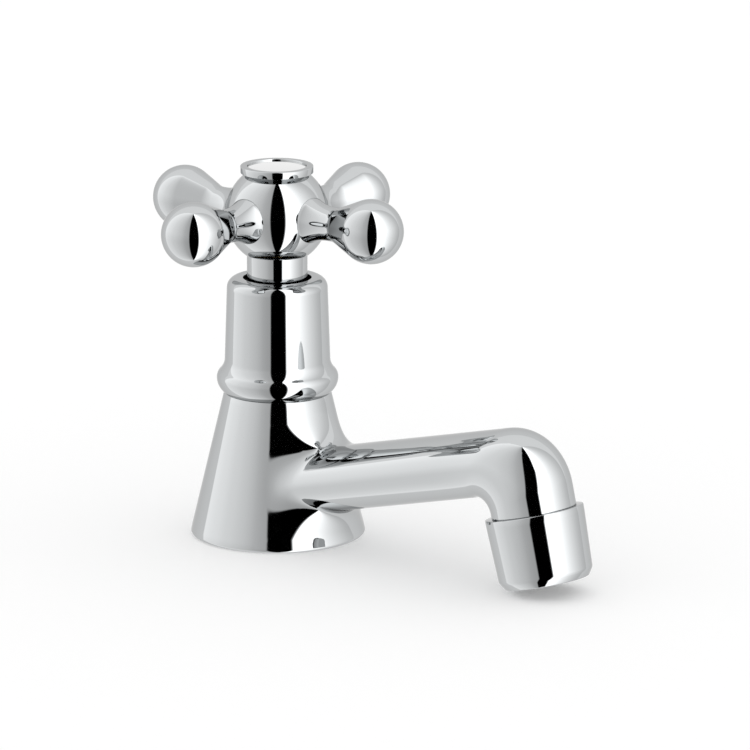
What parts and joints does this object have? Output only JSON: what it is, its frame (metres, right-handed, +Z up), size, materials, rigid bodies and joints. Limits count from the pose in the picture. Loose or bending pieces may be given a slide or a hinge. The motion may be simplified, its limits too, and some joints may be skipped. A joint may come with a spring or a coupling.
{
  "type": "basin pillar tap",
  "caption": "Conical chrome basin tap with a low fixed spout, aerator, quarter-turn ceramic headwork under a shroud, cross handle with ball ends, and threaded tail.",
  "frame": {"origin": "on the body's axis at the deck's top face, where the body's base stands", "axes": "+Z up along the body's axis, the spout along -Y, X across"},
  "size_m": [0.089, 0.1567, 0.1555],
  "materials": {
    "chrome_casting": "polished plate over a brass casting",
    "chrome_turned": "polished plate over turned brass",
    "index_face": "polished, left bare",
    "tail_brass": "machined",
    "nut_brass": "forged and machined",
    "headwork_brass": "machined",
    "black_rubber": "moulded",
    "seal_rubber": "moulded and greased",
    "zinc_steel": "stamped",
    "spring_steel": "bright",
    "disc_ceramic": "lapped",
    "insert_plastic": "moulded",
    "aerator_plastic": "moulded"
  },
  "bodies": {
    "body": {"body_spout": "chrome_casting", "base_gasket": "black_rubber", "inlet_tail": "tail_brass", "tail_seal": "seal_rubber", "deck_rubber_washer": "black_rubber", "deck_steel_washer": "zinc_steel", "backnut": "nut_brass", "shroud": "chrome_turned", "headwork_bonnet": "headwork_brass", "headwork_washer": "seal_rubber", "seat_seal": "seal_rubber", "ceramic_disc_fixed": "disc_ceramic", "aerator_housing": "chrome_turned", "aerator_washer": "seal_rubber", "aerator_insert": "aerator_plastic", "aerator_screen": "spring_steel"},
    "handle": {"handle_hub": "chrome_turned", "spline_insert": "insert_plastic", "handle_screw": "spring_steel", "handle_arm_front": "chrome_turned", "handle_arm_right": "chrome_turned", "handle_arm_back": "chrome_turned", "handle_arm_left": "chrome_turned", "index_ring": "chrome_turned", "index_disc": "index_face", "index_o_ring": "seal_rubber", "spindle": "headwork_brass", "spindle_o_rings": "seal_rubber", "stop_ring": "headwork_brass", "spindle_clip": "spring_steel", "ceramic_disc_turning": "disc_ceramic"}
  },
  "joints": [
    {"name": "handle_turn", "type": "hinge", "parent": "body", "child": "handle", "pos_m": [0, 0, 0.0933], "axis": [0, 0, 1], "range_deg": [0, 90]}
  ]
}
